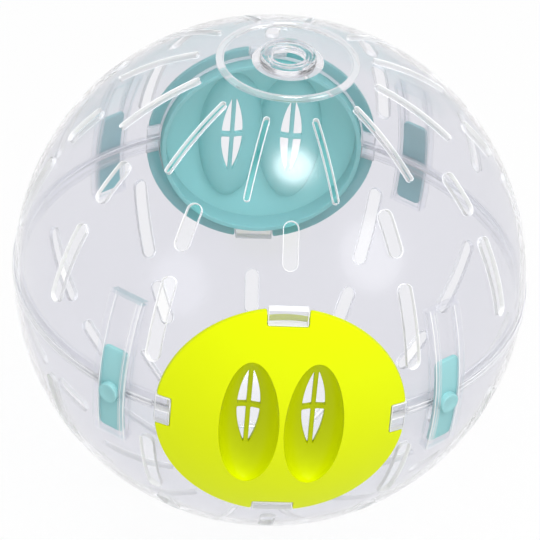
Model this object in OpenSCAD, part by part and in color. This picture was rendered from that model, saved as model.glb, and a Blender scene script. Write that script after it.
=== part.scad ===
// Hamster exercise ball: two clear half shells, two push-in doors and four slide latches.
// The origin is the centre of the ball, +Z runs through the upper hub and -Y through the
// front door. A place on the ball is given by its latitude and by its azimuth from -Y.

/* [Ball] */
// Outside diameter of the clear ball
ball_d = 185; // [170:1:205]
// Wall of the clear shells
shell_wall = 1.8; // [1.4:0.1:2.4]
// Height of the raised lip on each side of the seam
lip_h = 1.6; // [1:0.1:2.4]
// How far the seam lip stands proud of the ball
lip_proud = 0.6; // [0.3:0.1:0.9]
// How far the lower shell's tongue rises past the seam
tongue_h = 3; // [2:0.5:5]
// Wall of the tongue
tongue_wall = 1.2; // [0.8:0.1:1.8]
// Gap left between pieces that fit or slide
fit_gap = 0.3; // [0.2:0.05:0.4]

/* [Air slots] */
// Slots in each ring round a half shell
slots_around = 12; // [12:12:12]
// Width of the thin slots near the hub
thin_slot_w = 1.8; // [1.2:0.1:3]
// Length of the thin slots
thin_slot_l = 32.4; // [24:0.2:34]
// Width of the short and the long slots
wide_slot_w = 5; // [4:0.1:6]
// Length of the short slots
short_slot_l = 17; // [12:0.5:18]
// Length of the long slots
long_slot_l = 31; // [24:0.5:33]

/* [Hub] */
// Bore of the hub, which takes a stand's axle
bore_d = 12; // [8:0.5:12.5]
// Outside diameter of the hub collar, which the ball stands on
hub_d = 19.5; // [18.5:0.5:24]
// Height of the hub collar above the ball
hub_rise = 0.8; // [0.6:0.1:1.5]
// Height of the whole hub, through the shell's wall
hub_h = 3.8; // [3.5:0.1:5]
// Width of the hub's two rings
hub_ring_w = 1.25; // [0.9:0.05:1.5]
// Width of the key notch beside the bore
key_w = 2; // [1:0.1:3]
// Diameter of the round bead that circles the hub
bead_ring_d = 48; // [40:1:54]
// Thickness of the bead
bead_d = 2.6; // [1.4:0.1:3]

/* [Doors] */
// Outside diameter of a door's rim
door_d = 87; // [82:1:90]
// How far a door's rim reaches past the hole in the ball
rim_over = 5.5; // [4.5:0.5:7]
// Wall of a door
door_wall = 1.8; // [1.4:0.1:2.2]
// Depth of the skirt below the door's rim
skirt_l = 7; // [5:0.5:10]
// Width of the lugs above and below a door
pole_lug_w = 14; // [10:0.5:18]
// Width of the lugs on the seam at a door's sides
seam_lug_w = 11.6; // [9:0.2:14]
// Distance between the middles of the two finger recesses
recess_pitch = 22.4; // [21.8:0.2:24]
// Width of a finger recess
recess_w = 20.6; // [18:0.2:21.6]
// Height of a finger recess
recess_h = 51; // [44:1:54]
// Depth of a finger recess
recess_depth = 9.6; // [7.5:0.1:10.2]
// Width of the pointed window in a recess
window_w = 8; // [6:0.2:9]
// Height of the pointed window
window_h = 36; // [28:1:38]
// Height of the window's middle above the recess's middle
window_lift = 3; // [0:0.5:5]
// Width of the cross bars in a window
window_bar = 1.6; // [1:0.1:2.4]

/* [Latches] */
// Azimuth of the front latches, mirrored for the others
latch_az = 38; // [37:1:44]
// Length of a latch strip
latch_l = 34; // [30:1:37]
// Width of a latch strip
latch_w = 10.5; // [9:0.1:12]
// Thickness of a latch strip
latch_t = 1.5; // [1.2:0.1:2.2]
// Radius of a latch strip's corners
latch_corner_r = 2.5; // [1:0.1:4]
// Diameter of the round thumb pad on a latch
pad_d = 7.6; // [6.4:0.1:7.8]
// Height of the thumb pad above the strip
pad_rise = 2.2; // [1.8:0.1:3]
// Wall of the guide rails that hold a latch
rail_wall = 1.2; // [1:0.1:1.8]
// How far above the seam an opened latch comes to rest
latch_clear = 1.4; // [1:0.1:2.4]

/* [Hidden] */
$fn = 128;
small_fn = 32;
overrun = 2;

ball_r = ball_d / 2;
inner_r = ball_r - shell_wall;
mid_wall_r = ball_r - shell_wall / 2;
lip_root = ball_r - shell_wall * 2 / 5;
slot_pitch = 360 / slots_around;

// Latitudes of the middles of the three rings of slots
thin_slot_lat = 59.6;
short_slot_lat = 40.8;
long_slot_lat = 19.9;

hub_r = hub_d / 2;
bore_r = bore_d / 2;
hub_top = ball_r + hub_rise;
hub_under = hub_top - hub_h;
hub_floor = hub_top - hub_h / 3;
bore_ring_top = hub_top - hub_h / 6;
key_depth = hub_ring_w * 2 / 3;
key_az = -135;
bead_ring_r = bead_ring_d / 2;
bead_sink_share = 0.2;

tongue_out = inner_r - fit_gap;
tongue_in = tongue_out - tongue_wall;
tongue_foot = tongue_wall * 1.7;

door_r = door_d / 2;
hole_r = door_r - rim_over;
door_in = ball_r + fit_gap;
door_out = door_in + door_wall;
skirt_out = hole_r - fit_gap;
skirt_in = skirt_out - door_wall;
skirt_end = sqrt(door_in * door_in - skirt_out * skirt_out) - skirt_l;
lug_in = skirt_out + 2 * fit_gap;
lip_end_r = door_r + 2 * fit_gap;

// A recess is a ring's bore, rolled into the door: its long circle and its short circle
// both pass through the deepest point and through the recess's ends or sides
recess_x = recess_pitch / 2;
recess_top = sqrt(door_out * door_out - recess_x * recess_x);
recess_floor = recess_top - recess_depth;
recess_end = sqrt(door_out * door_out - recess_x * recess_x - recess_h * recess_h / 4);
recess_end_drop = recess_end - recess_floor;
recess_long_r = (recess_h * recess_h / 4 + recess_end_drop * recess_end_drop) / (2 * recess_end_drop);
recess_short_r = (recess_w * recess_w / 4 + recess_depth * recess_depth) / (2 * recess_depth);
recess_ring_r = recess_long_r - recess_short_r;
recess_axis = recess_floor + recess_long_r;

window_half_w = window_w / 2;
window_half_h = window_h / 2;
window_arc_r = (window_half_h * window_half_h + window_half_w * window_half_w) / (2 * window_half_w);

latch_in = ball_r + lip_proud + fit_gap;
latch_out = latch_in + latch_t;
pad_out = latch_out + pad_rise;
latch_half_deg = asin(latch_l / 2 / latch_in);
gap_deg = asin(2 * fit_gap / latch_in);
stop_deg = asin(rail_wall / latch_in);
latch_travel_deg = latch_half_deg + asin(latch_clear / latch_in);
rail_root = ball_r - shell_wall * 2 / 3;
rail_side = latch_w / 2 + fit_gap;
rail_outside = rail_side + rail_wall;
rail_under = latch_out + fit_gap;
rail_top = rail_under + rail_wall;
rail_lip = pad_d / 2 + fit_gap;

// Turns a shape drawn round +Z, with +Y up, to a place on the ball
module at_place(lat, az) {
    rotate([90 - lat, 0, az]) children();
}

// Round-ended slot, drawn on the plane that touches the ball
module slot_outline(slot_l, slot_w) {
    straight = slot_l - slot_w;
    square([slot_w, straight], center = true);
    for (end = [-1, 1])
        translate([0, end * straight / 2]) circle(d = slot_w, $fn = small_fn);
}

// Cutter for one slot, square to the ball at the slot's middle
module slot_cut(lat, az, slot_l, slot_w) {
    start = sqrt(inner_r * inner_r - slot_l * slot_l / 4) - overrun;
    at_place(lat, az)
        translate([0, 0, start])
            linear_extrude(ball_r + overrun - start) slot_outline(slot_l, slot_w);
}

// All the slots of one half shell: twelve thin, twelve short, and ten long ones that
// leave out the two places taken by the doors
module slot_cuts() {
    for (i = [0 : slots_around - 1]) {
        az = i * slot_pitch;
        slot_cut(thin_slot_lat, az + slot_pitch / 2, thin_slot_l, thin_slot_w);
        slot_cut(short_slot_lat, az, short_slot_l, wide_slot_w);
        if (az != 0 && az != 180)
            slot_cut(long_slot_lat, az, long_slot_l, wide_slot_w);
    }
}

// Half of the hollow ball, above the seam
module dome() {
    difference() {
        sphere(ball_r);
        sphere(inner_r);
        translate([-ball_r - overrun, -ball_r - overrun, -ball_r - overrun])
            cube([2 * (ball_r + overrun), 2 * (ball_r + overrun), ball_r + overrun]);
    }
}

// Lip that thickens the seam, left out where the doors lie
module seam_lip() {
    difference() {
        rotate_extrude()
            translate([lip_root, 0]) square([ball_r + lip_proud - lip_root, lip_h]);
        for (az = [0, 180])
            at_place(0, az) cylinder(r = lip_end_r, h = ball_d);
    }
}

// Stepped hub at the pole: an outer collar, a sunk floor and a ring round the bore
module hub() {
    rotate_extrude()
        polygon([
            [bore_r, hub_under],
            [hub_r, hub_under],
            [hub_r, hub_top],
            [hub_r - hub_ring_w, hub_top],
            [hub_r - hub_ring_w, hub_floor],
            [bore_r + hub_ring_w, hub_floor],
            [bore_r + hub_ring_w, bore_ring_top],
            [bore_r, bore_ring_top]
        ]);
}

// Round bead on the ball, in a ring about the hub
module bead() {
    bead_z = sqrt(ball_r * ball_r - bead_ring_r * bead_ring_r) + bead_d * bead_sink_share;
    rotate_extrude()
        translate([bead_ring_r, bead_z]) circle(d = bead_d, $fn = small_fn);
}

// Lug that stands on the shell and fills a cut-out in a door's rim, drawn along +Z
module lug(lug_w, grow) {
    reach = grow == 0 ? door_r : door_r + overrun;
    translate([-lug_w / 2 - grow, lug_in - grow, 0])
        cube([lug_w + 2 * grow, reach - lug_in + grow, ball_d]);
}

// The four lugs of one door; grow opens them to the size of the cut-outs
module lugs(grow) {
    for (turn = [0, 180]) {
        rotate(turn) lug(pole_lug_w, grow);
        rotate(turn + 90) lug(seam_lug_w, grow);
    }
}

// The lugs of both doors, cut to the shell's wall, to the doors' face and to the seam
module shell_lugs() {
    intersection() {
        difference() {
            sphere(door_out);
            sphere(mid_wall_r);
        }
        union() {
            for (az = [0, 180])
                at_place(0, az) lugs(0);
        }
        translate([-ball_d, -ball_d, 0]) cube(2 * ball_d);
    }
}

// Section of the channel that a latch slides in, open between the lips of its two rails
module channel_section() {
    polygon([
        [rail_root - overrun, -rail_side],
        [rail_under, -rail_side],
        [rail_under, -rail_lip],
        [rail_top + overrun, -rail_lip],
        [rail_top + overrun, rail_lip],
        [rail_under, rail_lip],
        [rail_under, rail_side],
        [rail_root - overrun, rail_side]
    ]);
}

// Guide rails from the seam up to a latitude, closed there by an end stop
module rails(az, stop_lat) {
    rotate([90, 0, az - 90])
        difference() {
            rotate_extrude(angle = stop_lat + stop_deg)
                translate([rail_root, -rail_outside])
                    square([rail_top - rail_root, 2 * rail_outside]);
            rotate(-stop_deg)
                rotate_extrude(angle = stop_lat + stop_deg) channel_section();
        }
}

// All that one half shell is made of; stop_lat is where its guide rails end
module half_shell(stop_lat) {
    difference() {
        union() {
            dome();
            seam_lip();
            hub();
            bead();
            for (az = [-latch_az, latch_az, 180 - latch_az, 180 + latch_az])
                rails(az, stop_lat);
        }
        cylinder(r = bore_r, h = ball_d);
        rotate(180 + key_az)
            translate([-key_w / 2, 0, 0]) cube([key_w, bore_r + key_depth, ball_d]);
        for (az = [0, 180])
            at_place(0, az) cylinder(r = hole_r, h = ball_d);
        slot_cuts();
    }
    shell_lugs();
}

// Tongue inside the lower shell, which rises behind the upper shell's edge
module tongue() {
    difference() {
        rotate_extrude()
            polygon([
                [tongue_in, -tongue_foot - tongue_wall],
                [mid_wall_r, -tongue_foot - tongue_wall],
                [mid_wall_r, -tongue_foot],
                [tongue_out, -tongue_foot],
                [tongue_out, tongue_h],
                [tongue_in, tongue_h]
            ]);
        for (az = [0, 180])
            at_place(0, az) cylinder(r = hole_r, h = ball_d);
    }
}

// Solid that a finger recess is cut with, or that backs it when grow is the wall
module recess_ring(side, grow) {
    translate([side * recess_x, 0, recess_axis])
        rotate([0, 90, 0])
            rotate_extrude()
                translate([recess_ring_r, 0]) circle(recess_short_r + grow);
}

// Pointed window of a recess, split in four by its cross bars
module window_cut(side) {
    start = recess_floor - door_wall - overrun;
    translate([side * recess_x, window_lift, start])
        linear_extrude(door_out - start)
            difference() {
                intersection() {
                    translate([window_half_w - window_arc_r, 0]) circle(window_arc_r);
                    translate([window_arc_r - window_half_w, 0]) circle(window_arc_r);
                }
                square([window_bar, window_h], center = true);
                square([window_w, window_bar], center = true);
            }
}

// One door, drawn about +Z: a cap with a skirt, two finger recesses and rim cut-outs
module door() {
    difference() {
        intersection() {
            sphere(door_out);
            cylinder(r = door_r, h = ball_d);
            union() {
                difference() {
                    cylinder(r = door_r, h = ball_d);
                    sphere(door_in);
                }
                translate([0, 0, skirt_end])
                    difference() {
                        cylinder(r = skirt_out, h = ball_r);
                        translate([0, 0, -overrun]) cylinder(r = skirt_in, h = ball_r + 2 * overrun);
                    }
                for (side = [-1, 1])
                    intersection() {
                        recess_ring(side, door_wall);
                        cylinder(r = skirt_in + door_wall / 2, h = ball_d);
                    }
            }
        }
        for (side = [-1, 1]) {
            recess_ring(side, 0);
            window_cut(side);
        }
        lugs(fit_gap);
    }
}

// Rectangle with rounded corners
module rounded_outline(size_x, size_y, corner_r) {
    square([size_x - 2 * corner_r, size_y], center = true);
    square([size_x, size_y - 2 * corner_r], center = true);
    for (sx = [-1, 1], sy = [-1, 1])
        translate([sx * (size_x / 2 - corner_r), sy * (size_y / 2 - corner_r)])
            circle(corner_r, $fn = small_fn);
}

// Bent band about the latch's slide axis, between two radii
module latch_band(in_r, out_r) {
    rotate([0, 90, 0])
        difference() {
            cylinder(r = out_r, h = latch_w + overrun, center = true);
            cylinder(r = in_r, h = latch_w + 2 * overrun, center = true);
        }
}

// One latch: a bent strip across the seam with a round, raised thumb pad
module latch(az) {
    at_place(0, az) {
        intersection() {
            latch_band(latch_in, latch_out);
            linear_extrude(ball_d) rounded_outline(latch_w, latch_l, latch_corner_r);
        }
        intersection() {
            latch_band(latch_out - latch_t / 2, pad_out);
            cylinder(d = pad_d, h = ball_d);
        }
    }
}

module upper_shell() {
    color("gainsboro")
        half_shell(latch_travel_deg + latch_half_deg + gap_deg);
}

module lower_shell() {
    color("lightgray") {
        mirror([0, 0, 1]) half_shell(latch_half_deg + gap_deg);
        tongue();
    }
}

module front_door() {
    color("yellow") at_place(0, 0) door();
}

module rear_door() {
    color("mediumaquamarine") at_place(0, 180) door();
}

module front_left_latch() {
    color("cadetblue") latch(-latch_az);
}

module front_right_latch() {
    color("cadetblue") latch(latch_az);
}

module rear_left_latch() {
    color("cadetblue") latch(180 + latch_az);
}

module rear_right_latch() {
    color("cadetblue") latch(180 - latch_az);
}

upper_shell();
lower_shell();
front_door();
rear_door();
front_left_latch();
front_right_latch();
rear_left_latch();
rear_right_latch();
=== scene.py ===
"""Clear plastic exercise ball, with two doors and four slide latches.

The frame's origin is the centre of the ball, +Z runs through the upper hub and -Y through the
front door. Shapes are worked out in millimetres and become metres when a mesh is made.
"""

from math import acos, asin, cos, degrees, hypot, pi, radians, sin, sqrt, tan

import bpy
import numpy as np
from mathutils import Matrix, Vector
from mathutils.geometry import delaunay_2d_cdt


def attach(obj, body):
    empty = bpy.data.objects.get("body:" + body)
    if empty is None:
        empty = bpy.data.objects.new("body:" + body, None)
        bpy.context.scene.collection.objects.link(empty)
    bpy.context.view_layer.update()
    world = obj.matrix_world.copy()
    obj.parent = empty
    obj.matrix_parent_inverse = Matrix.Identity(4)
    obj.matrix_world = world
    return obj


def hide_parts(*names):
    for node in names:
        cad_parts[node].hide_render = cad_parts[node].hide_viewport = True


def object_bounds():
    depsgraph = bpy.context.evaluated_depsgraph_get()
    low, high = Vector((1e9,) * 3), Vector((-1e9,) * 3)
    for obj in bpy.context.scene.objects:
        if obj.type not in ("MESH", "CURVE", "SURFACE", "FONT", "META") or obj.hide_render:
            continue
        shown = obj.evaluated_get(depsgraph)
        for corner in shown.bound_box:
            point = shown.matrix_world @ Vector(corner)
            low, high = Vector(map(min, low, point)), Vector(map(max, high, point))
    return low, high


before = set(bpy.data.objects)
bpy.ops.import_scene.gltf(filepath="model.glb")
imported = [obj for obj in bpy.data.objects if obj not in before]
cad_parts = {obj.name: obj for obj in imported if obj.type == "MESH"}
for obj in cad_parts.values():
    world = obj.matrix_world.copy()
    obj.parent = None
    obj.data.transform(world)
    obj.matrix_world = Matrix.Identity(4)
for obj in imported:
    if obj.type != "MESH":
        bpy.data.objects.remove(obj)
cad_low, cad_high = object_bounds()


# Upper shell's wall. One moulding of clear plastic, 1.8 mm thick, pierced by three rings of
# air slots. Its top carries the stepped hub with the bore for a stand's axle, and a round bead.
# The lower shell's tongue centres it at the seam, and the four latches hold it there.
ball_r = 92.5
wall = 1.8
inner_r = ball_r - wall
seam_gap = 0.05
hole_angle = asin(38 / inner_r)
hub_loop_angle = radians(17.3)


def at_place(points, latitude, azimuth):
    """Turns points drawn round +Z, with +Y up, to a place on the ball, by x then z rotation."""
    tilt, turn = radians(90 - latitude), radians(azimuth)
    x, y, z = np.asarray(points, float).T
    y, z = y * cos(tilt) - z * sin(tilt), y * sin(tilt) + z * cos(tilt)
    return np.column_stack((x * cos(turn) - y * sin(turn), x * sin(turn) + y * cos(turn), z))


def unit(vectors):
    """Rows scaled to length 1."""
    return vectors / np.linalg.norm(vectors, axis=-1, keepdims=True)


def rounded(corners, radius, is_open=False, steps=3):
    """Path with a fillet at each corner, as points and their right-hand normals.

    A corner P that turns by a becomes the curve (1-t)^2 A + 2t(1-t) P + t^2 B, where A and B lie
    radius * tan(a/2) before and after P, at steps values of t. Corners that turn by less than
    0.2 stay one point.
    """
    corners = np.asarray(corners, float)
    points, normals = [], []
    for i, p in enumerate(corners):
        before, after = p - corners[i - 1], corners[(i + 1) % len(corners)] - p
        if is_open and i == 0:
            before = after
        if is_open and i == len(corners) - 1:
            after = before
        size_b, size_a = np.linalg.norm(before), np.linalg.norm(after)
        before, after = before / size_b, after / size_a
        side_b = np.array((before[1], -before[0]))
        side_a = np.array((after[1], -after[0]))
        turn = acos(np.clip(before @ after, -1, 1))
        if turn < 0.2:
            points.append(p)
            normals.append(unit(side_b + side_a))
            continue
        cut = min(radius * tan(turn / 2), 0.45 * size_b, 0.45 * size_a)
        for t in np.linspace(0, 1, steps):
            a, b = p - before * cut, p + after * cut
            points.append((1 - t) ** 2 * a + 2 * t * (1 - t) * p + t * t * b)
            normals.append(unit((1 - t) * side_b + t * side_a))
    return np.array(points), np.array(normals)


def offset(path, distance):
    """Closed path moved to its right, mitred: p + 2 d (m + n) / |m + n|^2, m and n its normals."""
    ahead = unit(np.roll(path, -1, 0) - path)
    normal = np.column_stack((ahead[:, 1], -ahead[:, 0]))
    both = normal + np.roll(normal, 1, 0)
    return path + distance * 2 * both / (both * both).sum(1, keepdims=True)


def inside(points, loops):
    """True where a point is inside an odd number of the loops, by counting crossings."""
    odd = np.zeros(len(points), bool)
    for loop in loops:
        x1, y1 = loop.T
        x2, y2 = np.roll(loop, -1, 0).T
        x, y = points[:, :1], points[:, 1:]
        spans = (y1 > y) != (y2 > y)
        rise = np.where(y2 == y1, 1, y2 - y1)
        crosses = spans & (x < x1 + (y - y1) * (x2 - x1) / rise)
        odd ^= crosses.sum(1) % 2 == 1
    return odd


def skin(loops, fill, creases, clear):
    """Triangles of a surface bounded by loops, with fill points kept clear of them and creases.

    Gives the flat points, the triangles and, for each loop, the numbers of its points.
    """
    edge_points = np.concatenate(loops)
    keep = inside(fill, loops)
    for part in np.array_split(edge_points, 1 + len(edge_points) // 400):
        gaps = np.linalg.norm(fill[:, None] - part[None], axis=2)
        keep &= gaps.min(1) > clear
    flat = [edge_points, fill[keep]]
    edges, numbers, start = [], [], 0
    for loop in loops:
        numbers.append(list(range(start, start + len(loop))))
        edges += [(i, start + (i - start + 1) % len(loop)) for i in numbers[-1]]
        start += len(loop)
    start = len(edge_points) + keep.sum()
    for crease in creases:
        flat.append(crease)
        edges += [(start + i, start + i + 1) for i in range(len(crease) - 1)]
        start += len(crease)
    source = [Vector(p) for p in np.concatenate(flat)]
    found, _, faces, origin, _, _ = delaunay_2d_cdt(source, edges, [], 0, 1e-4)
    found = np.array([tuple(p) for p in found])
    new = {}
    for i, olds in enumerate(origin):
        for old in olds:
            new[old] = i
    faces = np.array([f for f in faces if len(f) == 3])
    a, b, c = (found[faces[:, k]] for k in range(3))
    turn = (b - a)[:, 0] * (c - a)[:, 1] - (b - a)[:, 1] * (c - a)[:, 0]
    faces[turn < 0] = faces[turn < 0][:, ::-1]
    faces = faces[inside((a + b + c) / 3, loops) & (abs(turn) > 1e-7)]
    return found, faces, [[new[i] for i in ring] for ring in numbers]


def surface(flat, height, place):
    """Points of a surface over flat points, and its normals by central differences of 0.02."""
    across = place(flat + (0.02, 0), height(flat + (0.02, 0)))
    across -= place(flat - (0.02, 0), height(flat - (0.02, 0)))
    along = place(flat + (0, 0.02), height(flat + (0, 0.02)))
    along -= place(flat - (0, 0.02), height(flat - (0, 0.02)))
    return place(flat, height(flat)), unit(np.cross(across, along))


def plate(loops, top, under, edge, place, fill, fill_under=None, creases=(), creases_under=()):
    """Closed solid between a top and an under surface: points, normals, faces and their kinds.

    Each loop is a function of how far it is moved into the material, walked with the material
    on its right; its wall has edges rounded by edge. A loop given as rows of (flat points,
    heights, normals, kind) is closed by those rows instead. Kinds are 0 for the two surfaces and
    1 for walls.
    """
    ends = [loop(edge) if callable(loop) else loop[0][0] for loop in loops]
    fill_under = fill if fill_under is None else fill_under
    up, up_faces, up_rings = skin(ends, fill, creases, 2 * edge)
    low, low_faces, low_rings = skin(ends, fill_under, creases_under, 2 * edge)
    up_points, up_normals = surface(up, top, place)
    low_points, low_normals = surface(low, under, place)
    points, normals = [up_points, low_points], [up_normals, -low_normals]
    faces = up_faces.tolist() + (low_faces[:, ::-1] + len(up)).tolist()
    count, kinds = len(up) + len(low), [0] * len(faces)
    for loop, up_ring, low_ring in zip(loops, up_rings, low_rings):
        rows = [np.array(up_ring)]
        if callable(loop):
            turns = [(t, True) for t in (pi / 6, pi / 3, pi / 2)]
            turns += [(t, False) for t in (pi / 2, pi / 3, pi / 6)]
            for t, is_top in turns:
                flat = loop(edge * (1 - sin(t)))
                height, sign = (top, -1) if is_top else (under, 1)
                _, normal = surface(flat, height, place)
                here = place(flat, height(flat) + sign * edge * (1 - cos(t)))
                out = unit(place(loop(0), height(flat)) - place(loop(edge), height(flat)))
                normals.append(unit(-sign * cos(t) * normal + sin(t) * out))
                points.append(here)
                rows.append(count + np.arange(len(flat)))
                count += len(flat)
        else:
            for flat, heights, normal, _ in loop[1:-1]:
                points.append(place(flat, heights))
                normals.append(normal)
                rows.append(count + np.arange(len(flat)))
                count += len(flat)
        rows.append(len(up) + np.array(low_ring))
        for i, (a, d) in enumerate(zip(rows, rows[1:])):
            faces += np.column_stack((a, np.roll(a, -1), np.roll(d, -1), d)).tolist()
            kinds += [1 if callable(loop) else loop[i][3]] * len(a)
    return np.concatenate(points), np.concatenate(normals), faces, kinds


def hexagons(half_x, half_y, pitch):
    """Points of a triangular grid over a rectangle about the origin."""
    rows = int(half_y / (pitch * sqrt(3) / 2))
    columns = int(half_x / pitch) + 1
    j, i = np.mgrid[-rows : rows + 1, -columns : columns + 1]
    x = (i + 0.5 * (j % 2)) * pitch
    points = np.column_stack((x.ravel(), (j * pitch * sqrt(3) / 2).ravel()))
    return points[abs(points[:, 0]) < half_x]


def on_ball(flat, height):
    """Flat points about the pole, as far from it as along the ball, set at a radius."""
    angle = np.hypot(flat[:, 0], flat[:, 1]) / ball_r
    turn = np.arctan2(flat[:, 1], flat[:, 0])
    level = np.sin(angle)
    rays = np.column_stack((level * np.cos(turn), level * np.sin(turn), np.cos(angle)))
    return rays * np.broadcast_to(height, len(flat))[:, None]


def flatten(rays):
    """Rays from the ball's centre, as the flat points that on_ball takes."""
    rays = unit(rays)
    angle = np.arccos(np.clip(rays[:, 2], -1, 1)) * ball_r
    turn = np.arctan2(rays[:, 1], rays[:, 0])
    return np.column_stack((angle * np.cos(turn), angle * np.sin(turn)))


def slot_loop(length, width, latitude, azimuth):
    """Outline of a round-ended air slot, walked anticlockwise, as a function of its growth."""

    def loop(grow):
        r, half = width / 2 + grow, (length - width) / 2
        ends = np.linspace(0, pi, 13)
        arc = np.column_stack((r * np.cos(ends), half + r * np.sin(ends)))
        side = np.column_stack((np.full(5, -r), np.linspace(half, -half, 7)[1:-1]))
        path = np.concatenate((arc, side, -arc, -side))
        height = np.sqrt(ball_r**2 - (path * path).sum(1))
        return flatten(at_place(np.column_stack((path, height)), latitude, azimuth))

    return loop


def rim_loop(grow):
    """Seam and the upper halves of both door holes, walked clockwise seen from above."""
    angle, z = hole_angle + grow / ball_r, (grow + seam_gap) / ball_r
    level = sqrt(1 - z * z)
    start = asin(z / sin(angle))
    t = np.linspace(start, pi - start, 49)[:-1]
    across, up = sin(angle) * np.cos(t), sin(angle) * np.sin(t)
    hole = np.column_stack((across, np.full(48, -cos(angle)), up))
    start = acos(cos(angle) / level)
    a = np.linspace(start, pi - start, 53)[:-1]
    seam = np.column_stack((-level * np.sin(a), -level * np.cos(a), np.full(52, z)))
    back = (-1, -1, 1)
    return flatten(np.concatenate((hole, seam, hole * back, seam * back)))


def hub_rows():
    """Rows of the hub and the bead, from the outer skin over the hub's steps to the inner skin.

    The profile is a list of (distance from the axis, height). The bead is a circle of 1.3 mm
    round (24, 0.52 above the ball). The key notch widens the bore to 6.83 mm where the direction
    is within 9 degrees of 135. Rows on the ball's two spheres are of kind 0, those round the
    bead of kind 3 and the others of kind 2.
    """
    start, bead_z = hub_loop_angle, sqrt(ball_r**2 - 24**2) + 0.52
    profile = [(ball_r * sin(start), ball_r * cos(start))]
    for turn in np.linspace(-0.6, pi + 0.1, 24):
        x, z = 24 + 1.3 * cos(turn), bead_z + 1.3 * sin(turn)
        if hypot(x, z) > ball_r + 0.01:
            profile.append((x, z))
    for angle in np.linspace(radians(14), radians(6.6), 6):
        profile.append((ball_r * sin(angle), ball_r * cos(angle)))
    profile += [(9.75, 92), (9.75, 93.3), (8.5, 93.3), (8.5, 92.03), (7.25, 92.03)]
    profile += [(7.25, 92.667), (6, 92.667), (6, 89.5), (9.75, 89.5), (9.75, 90.16)]
    for angle in np.linspace(radians(8), start, 6):
        profile.append((inner_r * sin(angle), inner_r * cos(angle)))
    path, side = rounded(profile, 0.22, is_open=True)
    turns = np.arange(96) * 2 * pi / 96
    in_key = abs((np.degrees(turns) - 135 + 180) % 360 - 180) < 9
    rows = []
    for (r, z), (out, rise) in zip(path, side):
        r = np.where(in_key & (r < 6.83), 6.83, r)
        angle, rays = np.arctan2(r, z) * ball_r, np.column_stack((np.cos(turns), np.sin(turns)))
        normal = np.column_stack((out * rays, np.full(96, rise)))
        size = hypot(r[0], z)
        kind = 3 if r[0] > 22 else 2
        kind = 0 if min(abs(size - ball_r), abs(size - inner_r)) < 0.01 else kind
        rows.append((angle[:, None] * rays, np.hypot(r, z), normal, kind))
    return rows


def shell_wall():
    """Skin of a half shell above the seam, with its slots, door holes and hub."""
    loops = [rim_loop, hub_rows()]
    for i in range(12):
        loops.append(slot_loop(32.4, 1.8, 59.6, 30 * i + 15))
        loops.append(slot_loop(17, 5, 40.8, 30 * i))
        if i not in (0, 6):
            loops.append(slot_loop(31, 5, 19.9, 30 * i))
    return plate(
        loops,
        lambda flat: np.full(len(flat), ball_r),
        lambda flat: np.full(len(flat), inner_r),
        0.25,
        on_ball,
        hexagons(148, 148, 3.3),
    )


def mirrored(part):
    """The part turned upside down through the seam's plane."""
    points, normals, faces, kinds = part
    flip = (1, 1, -1)
    return points * flip, normals * flip, [face[::-1] for face in faces], kinds


def mesh_piece(name, parts, *materials):
    """One object from several parts, in metres, shaded by the parts' own normals.

    Faces of kind 0, 1, 2 and 3 take the materials in turn, or the last there is.
    """
    points = np.concatenate([part[0] for part in parts])
    normals = np.concatenate([part[1] for part in parts])
    faces, slots, start = [], [], 0
    for part in parts:
        faces += [[start + i for i in face] for face in part[2]]
        slots += [min(kind, len(materials) - 1) for kind in part[3]]
        start += len(part[0])
    mesh = bpy.data.meshes.new(name)
    mesh.from_pydata((points / 1000).tolist(), [], faces)
    mesh.polygons.foreach_set("use_smooth", [True] * len(faces))
    mesh.normals_split_custom_set_from_vertices(normals.tolist())
    for material in materials:
        mesh.materials.append(material)
    mesh.polygons.foreach_set("material_index", slots)
    piece = bpy.data.objects.new(name, mesh)
    bpy.context.scene.collection.objects.link(piece)
    return piece


class Socket:
    """Output of a shader node, on which arithmetic adds Math nodes."""

    def __init__(self, tree, output):
        self.tree, self.output = tree, output

    def node(self, kind, inputs, output=0, **settings):
        """Adds a node, fills its inputs with values or sockets, and gives one of its outputs."""
        made = self.tree.nodes.new(kind)
        for key, value in settings.items():
            setattr(made, key, value)
        for key, value in inputs.items():
            if isinstance(value, Socket):
                self.tree.links.new(value.output, made.inputs[key])
            else:
                made.inputs[key].default_value = value
        return Socket(self.tree, made.outputs[output])

    def math(self, operation, other):
        return self.node("ShaderNodeMath", {0: self, 1: other}, operation=operation)

    def __add__(self, other):
        return self.math("ADD", other)

    def __mul__(self, other):
        return self.math("MULTIPLY", other)


def new_material(name):
    """Empty material, its object coordinates as a Socket, and a way to end it in a shader."""
    material = bpy.data.materials.new(name)
    material.use_nodes = True
    tree = material.node_tree
    tree.nodes.clear()
    coordinates = tree.nodes.new("ShaderNodeTexCoord").outputs["Object"]
    output = tree.nodes.new("ShaderNodeOutputMaterial")

    def finish(shader):
        tree.links.new(shader.output, output.inputs["Surface"])
        return material

    return Socket(tree, coordinates), finish


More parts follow.
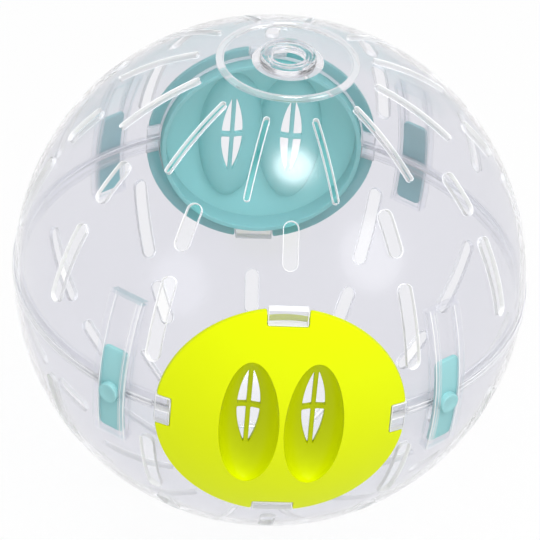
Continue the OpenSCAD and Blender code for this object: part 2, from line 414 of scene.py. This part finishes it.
def clear_plastic(name, ior):
    """Clear plastic, very slightly grey, with the faint waves of a moulded surface.

    Its gloss is that of the real plastic. It bends what is behind it by ior, which is near 1
    where the faces are parallel. Lamps shine through it, because its walls are thin.
    """
    place, finish = new_material(name)
    wave = place.node("ShaderNodeTexNoise", {"Vector": place, "Scale": 30.0, "Detail": 1.0})
    scuff = place.node("ShaderNodeTexNoise", {"Vector": place, "Scale": 160.0, "Detail": 4.0})
    bump = {"Height": wave, "Strength": 0.3, "Distance": 0.0008}
    shader = place.node(
        "ShaderNodeBsdfPrincipled",
        {
            "Base Color": (0.868, 0.868, 0.9, 1),
            "Roughness": scuff * 0.03 + 0.01,
            "IOR": ior,
            "Transmission Weight": 1.0,
            "Coat Weight": 1.0,
            "Coat Roughness": 0.17,
            "Coat IOR": 1.49,
            "Normal": place.node("ShaderNodeBump", bump),
        },
    )
    light = place.node("ShaderNodeLightPath", {}, "Is Shadow Ray")
    passed = place.node("ShaderNodeBsdfTransparent", {"Color": (0.93, 0.935, 0.955, 1)})
    return finish(place.node("ShaderNodeMixShader", {0: light, 1: shader, 2: passed}))


def straight_plastic(name, least, growth, metallic, tint):
    """Clear plastic of small forms, which show what is behind them straight.

    That view, dimmed to tint, is mixed with reflected light if metallic is 1, or with scattered
    light if it is 0. Their share grows with the view's slant x as least + growth x^3.
    """
    place, finish = new_material(name)
    gleam = place.node(
        "ShaderNodeBsdfPrincipled",
        {
            "Base Color": (0.96, 0.965, 0.98, 1),
            "Metallic": metallic,
            "Roughness": 0.2 - 0.08 * metallic,
            "IOR": 1.49,
        },
    )
    slant = place.node("ShaderNodeLayerWeight", {"Blend": 0.5}, "Facing")
    passed = place.node("ShaderNodeBsdfTransparent", {"Color": (tint, tint, tint + 0.008, 1)})
    share = slant.math("POWER", 3.0) * growth + least
    return finish(place.node("ShaderNodeMixShader", {0: share, 1: passed, 2: gleam}))


clear = clear_plastic("clear_plastic", 1.04)
hub_clear = clear_plastic("clear_hub", 1.25)
cut_edge = straight_plastic("clear_cut_edge", 0.75, 0.0, 0.0, 0.9)
bead_clear = straight_plastic("clear_bead", 0.4, 0.5, 1.0, 0.96)
shell_plastics = (clear, cut_edge, hub_clear, bead_clear)
half = shell_wall()
upper_wall = mesh_piece("upper_shell_wall", [half], *shell_plastics)
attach(upper_wall, "shell")
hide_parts("upper_shell")


# Lower shell's wall. The same moulding of clear plastic upside down, with its own hub and bore,
# on which the ball stands. The four latches hold it to the upper shell.
lower_wall = mesh_piece("lower_shell_wall", [mirrored(half)], *shell_plastics)
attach(lower_wall, "shell")
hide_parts("lower_shell")


# Seam. Each shell's edge is thickened by a small lip outside, left out where the doors lie, and
# the lower shell has a tongue inside that rises behind the upper shell's edge. All are clear.
def turned(section, radius, start, end, steps, place=None):
    """Solid swept round an axis, from a section of (distance from the axis, height) corners.

    The section is walked anticlockwise. place turns the points; a full turn has no ends. Its
    rounded edges are of kind 1, which is two of the three faces that each corner adds.
    """
    path, side = rounded(section, radius)
    whole = end - start > 359.9
    turns = np.radians(np.linspace(start, end, steps + 1))
    turns = turns[:-1] if whole else turns
    size, count = len(path), len(turns)

    def sweep(values):
        x = np.outer(np.cos(turns), values[:, 0]).ravel()
        y = np.outer(np.sin(turns), values[:, 0]).ravel()
        return np.column_stack((x, y, np.tile(values[:, 1], count)))

    points, normals = sweep(path), sweep(side)
    i, j = np.meshgrid(np.arange(size), np.arange(count if whole else count - 1))
    nexti, nextj = (i + 1) % size, (j + 1) % count
    corners = (j * size + i, nextj * size + i, nextj * size + nexti, j * size + nexti)
    faces = np.stack([c.ravel() for c in corners], 1).tolist()
    kinds = np.where(i % 3 == 2, 0, 1).ravel().tolist()
    if not whole:
        total = len(points)
        for row, sign in ((0, -1), (count - 1, 1)):
            cap = points[row * size : (row + 1) * size]
            ahead = np.array((-sin(turns[row]), cos(turns[row]), 0))
            points = np.concatenate((points, cap))
            normals = np.concatenate((normals, np.tile(sign * ahead, (size, 1))))
            ring = list(range(total, total + size))
            faces.append(ring if sign < 0 else ring[::-1])
            kinds.append(0)
            total += size
    if place:
        points, normals = place(points), place(normals)
    return points, normals, faces, kinds


thin_clear = straight_plastic("clear_rib", 0.12, 0.8, 1.0, 0.99)
lip_section = [(92.1, seam_gap), (93.1, seam_gap), (93.1, 1.6), (92.1, 1.6)]
lips = [turned(lip_section, 0.25, a - 61.4, a + 61.4, 60) for a in (0, 180)]
tongue_section = [(89.2, -3.2), (91, -3.2), (91, -2.04), (90.4, -2.04), (90.4, 3), (89.2, 3)]
tongues = [turned(tongue_section, 0.2, a - 64.4, a + 64.4, 60) for a in (0, 180)]

upper_lip = mesh_piece("upper_shell_lip", lips, thin_clear, cut_edge)
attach(upper_lip, "shell")
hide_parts("upper_shell")

lower_lip = mesh_piece("lower_shell_lip", [mirrored(lip) for lip in lips], thin_clear, cut_edge)
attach(lower_lip, "shell")
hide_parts("lower_shell")

tongue = mesh_piece("lower_shell_tongue", tongues, thin_clear, cut_edge)
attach(tongue, "shell")
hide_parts("lower_shell")


# Guide rails. Pairs of clear L-shaped rails, moulded with the shells, stand beside each latch
# and hold it by its edges; the pair is closed at its far end by a stop. The upper ones are twice
# as long, so that a latch can slide clear of the seam.
latch_azimuths = {
    "front_left_latch": -38,
    "front_right_latch": 38,
    "rear_left_latch": 218,
    "rear_right_latch": 142,
}
rail_section = [(92.1, 5.55), (95.2, 5.55), (95.2, 4.1), (96.4, 4.1), (96.4, 6.75), (92.1, 6.75)]
stop_section = [(92.1, -6.75), (96.4, -6.75), (96.4, 6.75), (92.1, 6.75)]


def rails(stop):
    """Both rails and the end stop beside every latch, from the seam up to a latitude."""
    parts = []
    for azimuth in latch_azimuths.values():
        a = radians(azimuth)
        axes = np.array(((sin(a), -cos(a), 0), (0, 0, 1), (-cos(a), -sin(a), 0)))

        def place(points):
            return points @ axes

        other = [(r, -s) for r, s in rail_section[::-1]]
        for section in (rail_section, other):
            parts.append(turned(section, 0.2, 0.05, stop, 12, place))
        parts.append(turned(stop_section, 0.2, stop - 0.05, stop + 0.74, 1, place))
    return parts


upper_rails = mesh_piece("upper_shell_rails", rails(22.21), thin_clear, cut_edge)
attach(upper_rails, "shell")
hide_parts("upper_shell")

short_rails = [mirrored(rail) for rail in rails(10.86)]
lower_rails = mesh_piece("lower_shell_rails", short_rails, thin_clear, cut_edge)
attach(lower_rails, "shell")
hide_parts("lower_shell")


# Door lugs. Clear blocks, moulded with the shells, fill the four cut-outs in each door's rim and
# key the door. The lug above or below a door is whole; those at its sides are split by the seam.
def dome(radius):
    """Height of a sphere about the ball's centre over flat points, as a function."""
    return lambda flat: np.sqrt(radius**2 - (flat * flat).sum(1))


def at_door(azimuth):
    """Sets flat points and heights about a door's axis."""
    return lambda flat, height: at_place(np.column_stack((flat, height)), 0, azimuth)


def lug(low_x, low_y, high_x, high_y, azimuth):
    """One lug on the sphere through a door's face, over a rectangle seen from the door."""
    corners = [(low_x, low_y), (low_x, high_y), (high_x, high_y), (high_x, low_y)]
    path = rounded(corners, 0.5)[0]
    centre = np.array(((low_x + high_x) / 2, (low_y + high_y) / 2))
    fill = hexagons((high_x - low_x) / 2, (high_y - low_y) / 2, 1.4) + centre
    return plate(
        [lambda grow: offset(path, grow)], dome(94.6), dome(92.1), 0.3, at_door(azimuth), fill
    )


lugs = []
for azimuth in (0, 180):
    lugs.append(lug(-7, 38.3, 7, 43.5, azimuth))
    lugs.append(lug(38.3, seam_gap, 43.5, 5.8, azimuth))
    lugs.append(lug(-43.5, seam_gap, -38.3, 5.8, azimuth))

upper_lugs = mesh_piece("upper_shell_lugs", lugs, thin_clear, cut_edge)
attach(upper_lugs, "shell")
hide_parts("upper_shell")

low_lugs = [mirrored(part) for part in lugs]
lower_lugs = mesh_piece("lower_shell_lugs", low_lugs, thin_clear, cut_edge)
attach(lower_lugs, "shell")
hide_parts("lower_shell")


# Front door. A push-in cap of even yellow plastic that lies on the ball, with two deep finger
# dishes side by side. Each dish is pierced by a pointed window, split in four by thin bars. A
# round skirt behind the cap plugs the hole, and four cut-outs in its rim fit the shells' lugs.
door_out = 94.6
door_in = 92.8
dish_x = 11.2
dish_depth = 9.6
dish_reach = np.array((10.3, 25.5))


def dish(flat, side, grow):
    """Depth of a dish: a hollow half ellipsoid, its outline widened by grow."""
    away = ((flat - (side * dish_x, 0)) / (dish_reach + grow)) ** 2
    return dish_depth * np.sqrt(np.maximum(1 - away.sum(1), 0))


def door_top(flat):
    """Front face of a door: the sphere, sunk by the dishes."""
    return dome(door_out)(flat) - np.maximum(dish(flat, -1, 0), dish(flat, 1, 0))


def door_under(flat):
    """Back face of a door, one wall behind the front face."""
    return dome(door_in)(flat) - np.maximum(dish(flat, -1, wall), dish(flat, 1, wall))


def door_fill(grow):
    """Points over a door: an even grid, and rings that crowd towards each dish's outline.

    The outline and its two neighbours are creases, which no triangle crosses.
    """
    even, rings, creases = hexagons(43, 43, 2.4), [], []
    turns = np.linspace(0, 2 * pi, 73)
    outline = np.column_stack((np.cos(turns), np.sin(turns))) * (dish_reach + grow)
    sizes = (1.04, 0.99, 0.975, 0.95, 0.9, 0.83, 0.74, 0.62, 0.48, 0.32, 0.15)
    for side in (-1, 1):
        middle = (side * dish_x, 0)
        creases += [outline * size + middle for size in (1.015, 1, 0.998)]
        even = even[~inside(even, [outline * 1.05 + middle])]
        near = np.concatenate([outline[:-1] * size + middle for size in sizes])
        rings.append(near[near[:, 0] * side > 0.3])
    return np.concatenate([even] + rings), creases


def rim_path():
    """Door's rim, walked clockwise: arcs at 43.5 mm between cut-outs that reach in to 38 mm."""
    tall, wide = degrees(acos(7.3 / 43.5)), degrees(asin(6.1 / 43.5))
    corners = []
    for quarter in range(4):
        first, last = (tall, wide) if quarter % 2 == 0 else (90 - wide, 90 - tall)
        turns = np.radians(np.linspace(first, last, 20) - 90 * quarter)
        corners += [(43.5 * cos(t), 43.5 * sin(t)) for t in turns]
        half_width = 6.1 if quarter % 2 == 0 else 7.3
        t = -radians(90 * quarter)
        for side in (half_width, -half_width):
            corners.append((38 * cos(t) - side * sin(t), 38 * sin(t) + side * cos(t)))
    return rounded(corners, 0.7)[0]


def window_paths():
    """The four openings of each dish's window, walked anticlockwise.

    The window is where two circles of radius 42.5 mm overlap, 8 mm wide and 36 mm high, with
    its middle 3 mm above the dish's; 1.6 mm bars cross it.
    """
    top = asin(16.18 / 42.5)
    arc = [(42.5 * cos(t) - 38.5, 42.5 * sin(t)) for t in np.linspace(asin(0.8 / 42.5), top, 10)]
    quarter = np.array([(0.8, 0.8)] + arc)
    paths = []
    for side in (-1, 1):
        for sx, sy in ((1, 1), (-1, 1), (-1, -1), (1, -1)):
            path = quarter * (sx, sy)
            path = path[::-1] if sx * sy < 0 else path
            paths.append(rounded(path, 0.5)[0] + (side * dish_x, 3))
    return paths


def door_parts(azimuth):
    """Cap and skirt of a door, facing an azimuth."""
    place = at_door(azimuth)
    paths = [rim_path()] + window_paths()
    loops = [lambda grow, path=path: offset(path, grow) for path in paths]
    fill, creases = door_fill(0)
    fill_under, creases_under = door_fill(wall)
    cap = plate(
        loops, door_top, door_under, 0.3, place, fill, fill_under, creases, creases_under
    )
    section = [(35.9, 77.8), (37.7, 77.8), (37.7, 86.2), (35.9, 86.2)]
    skirt = turned(section, 0.4, 0, 360, 128, lambda points: at_place(points, 0, azimuth))
    return cap, skirt


def door_plastic(name, colour, glow, painted_shade_share=1.0):
    """Glossy coloured plastic that lets a little light through, with a fine moulded grain.

    The colour falls to its given share where the wall lies 9 mm inside the door's face. This is
    painted shade, which darkens the finger dishes as shade would.
    """
    place, finish = new_material(name)
    grain = place.node("ShaderNodeTexNoise", {"Vector": place, "Scale": 900.0, "Detail": 2.0})
    drift = place.node("ShaderNodeTexNoise", {"Vector": place, "Scale": 25.0, "Detail": 2.0})
    ramp = {0: drift, 6: tuple(0.96 * c for c in colour) + (1,), 7: colour + (1,)}
    tint = place.node("ShaderNodeMix", ramp, 2, data_type="RGBA")
    # Painted shade: the colour darkens towards the dish floors, by distance from the ball's
    # centre.
    if painted_shade_share < 1:
        out = place.node("ShaderNodeVectorMath", {0: place}, 1, operation="LENGTH")
        painted_shade_mask = place.node(
            "ShaderNodeMapRange", {0: out, 1: 0.0945, 2: 0.0855, 3: 0.0, 4: 1.0}
        )
        ramp = {0: painted_shade_mask, 6: tint, 7: tuple(painted_shade_share * c for c in colour) + (1,)}
        tint = place.node("ShaderNodeMix", ramp, 2, data_type="RGBA")
    bump = place.node("ShaderNodeBump", {"Height": grain, "Strength": 0.1, "Distance": 0.0001})
    gloss = place.node(
        "ShaderNodeBsdfPrincipled",
        {
            "Base Color": tint,
            "Roughness": drift * 0.08 + 0.32,
            "IOR": 1.49,
            "Specular IOR Level": 0.12,
            "Normal": bump,
        },
    )
    through = place.node("ShaderNodeBsdfTranslucent", {"Color": colour + (1,)})
    return finish(place.node("ShaderNodeMixShader", {0: glow, 1: gloss, 2: through}))


# The yellow dishes take painted shade, down to 0.64 of the colour at their floors.
yellow = door_plastic("yellow_plastic", (0.75, 0.86, 0.0), 0.06, 0.64)
front_cap, front_skirt = door_parts(0)
front_door_cap = mesh_piece("front_door_cap", [front_cap], yellow)
front_door_skirt = mesh_piece("front_door_skirt", [front_skirt], yellow)
for part in (front_door_cap, front_door_skirt):
    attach(part, "front_door")
    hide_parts("front_door")


# Rear door. The same moulding in pale teal plastic, pushed into the rear hole and keyed by its
# own four lugs. From the front it is seen from inside, through the clear shells.
teal = door_plastic("teal_door_plastic", (0.41, 0.8, 0.8), 0.55)
rear_cap, rear_skirt = door_parts(180)
rear_door_cap = mesh_piece("rear_door_cap", [rear_cap], teal)
rear_door_skirt = mesh_piece("rear_door_skirt", [rear_skirt], teal)
for part in (rear_door_cap, rear_door_skirt):
    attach(part, "rear_door")
    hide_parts("rear_door")


# Latches. Four strips of teal plastic, bent to the ball, that bridge the seam and slide up
# inside the guide rails. A round thumb pad with a shallow dish stands on the middle of each.
def barrel(radius):
    """Height of a cylinder about the latch's slide axis over flat points, as a function."""
    return lambda flat: np.sqrt(radius**2 - flat[:, 1] ** 2)


def pad_top(flat):
    """Thumb pad's face, 97.1 mm out, sunk by up to 0.5 mm inside a circle of 3.1 mm."""
    share = 1 - np.minimum(np.hypot(flat[:, 0], flat[:, 1]) / 3.1, 1) ** 2
    return barrel(97.1)(flat) - 0.5 * share


def block(path, top, under, azimuth, pitch):
    """Block with rounded edges over a path, walked clockwise as seen from outside a latch."""
    fill = hexagons(*abs(path).max(0), pitch)
    return plate([lambda grow: offset(path, grow)], top, under, 0.4, at_door(azimuth), fill)


strip_corners = [(-5.25, -17), (-5.25, 17), (5.25, 17), (5.25, -17)]
strip_path = []
corner_path = rounded(strip_corners, 2.5, steps=7)[0]
for a, b in zip(corner_path, np.roll(corner_path, -1, 0)):
    parts = max(1, round(float(np.linalg.norm(b - a)) / 2))
    strip_path += [a + (b - a) * k / parts for k in range(parts)]
turns = -np.radians(np.arange(0, 360, 9))
pad_path = 3.8 * np.column_stack((np.cos(turns), np.sin(turns)))
latch_teal = door_plastic("teal_latch_plastic", (0.44, 0.78, 0.8), 0.3)
for name, azimuth in latch_azimuths.items():
    strip = block(np.array(strip_path), barrel(94.9), barrel(93.4), azimuth, 1.8)
    pad = block(pad_path, pad_top, barrel(94.3), azimuth, 0.7)
    strip_piece = mesh_piece(name + "_strip", [strip], latch_teal)
    pad_piece = mesh_piece(name + "_pad", [pad], latch_teal)
    for part in (strip_piece, pad_piece):
        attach(part, name)
        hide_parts(name)


# Stage. A plain pale floor under the ball, which stays white but for the ball's soft shadow.
# Clear plastic and gloss show the floor and the room in that same white.
plain_white = (1, 1, 1, 1)


def ray_share(place):
    """1 for camera, glossy and transmission rays, 0 for the light that falls on a surface."""
    seen = place.node("ShaderNodeLightPath", {}, "Is Camera Ray")
    for ray in ("Is Glossy Ray", "Is Transmission Ray"):
        seen = seen.math("MAXIMUM", place.node("ShaderNodeLightPath", {}, ray))
    return seen


place, finish = new_material("pale_floor")
lit = place.node("ShaderNodeBsdfDiffuse", {"Color": (0.8, 0.8, 0.8, 1)})
white = place.node("ShaderNodeEmission", {"Color": plain_white, "Strength": 1.0})
pale_floor = finish(
    place.node("ShaderNodeMixShader", {0: ray_share(place) * 0.93, 1: lit, 2: white})
)
floor_mesh = bpy.data.meshes.new("floor")
reach = 6
floor_z = cad_low.z
floor_corners = [(-reach, -reach, floor_z), (reach, -reach, floor_z), (reach, reach, floor_z)]
floor_mesh.from_pydata(floor_corners + [(-reach, reach, floor_z)], [], [(0, 1, 2, 3)])
floor_mesh.materials.append(pale_floor)
floor = bpy.data.objects.new("floor", floor_mesh)
bpy.context.scene.collection.objects.link(floor)

world = bpy.data.worlds.new("soft_room")
world.use_nodes = True
tree = world.node_tree
tree.nodes.clear()
room = Socket(tree, tree.nodes.new("ShaderNodeTexCoord").outputs["Object"])
level = ray_share(room) * 0.4 + 0.6
shine = room.node("ShaderNodeBackground", {"Color": plain_white, "Strength": level})
ending = tree.nodes.new("ShaderNodeOutputWorld")
tree.links.new(shine.output, ending.inputs["Surface"])
bpy.context.scene.world = world


def softbox(name, position, size, power, mirrored_in_gloss):
    """Round lamp that faces the ball, seen in its gloss or only lighting it."""
    light = bpy.data.lights.new(name, "AREA")
    light.shape, light.size, light.energy = "DISK", size, power
    lamp = bpy.data.objects.new(name, light)
    lamp.location = position
    lamp.rotation_euler = (-Vector(position)).to_track_quat("-Z", "Y").to_euler()
    lamp.visible_glossy = lamp.visible_transmission = mirrored_in_gloss
    bpy.context.scene.collection.objects.link(lamp)


softbox("overhead_lamp", (0.12, -0.2, 1.3), 0.36, 3, True)
softbox("front_right_lamp", (0.9, -0.75, 0.75), 0.7, 1.8, True)
softbox("fill_lamp", (0.1, -0.9, 1.5), 1.2, 18, False)


# Camera. At the photograph's viewing angle: 35.5 degrees above the horizon, turned 5.24 degrees
# and rolled by -4.9 degrees, 16 ball radii from the ball's centre.
def about_z(angle):
    """Rotation about the third axis."""
    return np.array(((cos(angle), -sin(angle), 0), (sin(angle), cos(angle), 0), (0, 0, 1)))


rise = radians(35.5)
tilt = np.array(((1, 0, 0), (0, sin(rise), cos(rise)), (0, -cos(rise), sin(rise))))
axes = about_z(radians(-4.9)) @ tilt @ about_z(radians(5.24))
lens = bpy.data.cameras.new("camera")
lens.sensor_width = 36
lens.lens = 272.6
camera = bpy.data.objects.new("camera", lens)
pose = np.eye(4)
pose[:3, :3] = axes.T
pose[:3, 3] = axes[2] * 1.48
camera.matrix_world = Matrix(pose.tolist())
bpy.context.scene.collection.objects.link(camera)
bpy.context.scene.camera = camera
bpy.context.scene.view_settings.view_transform = "Standard"
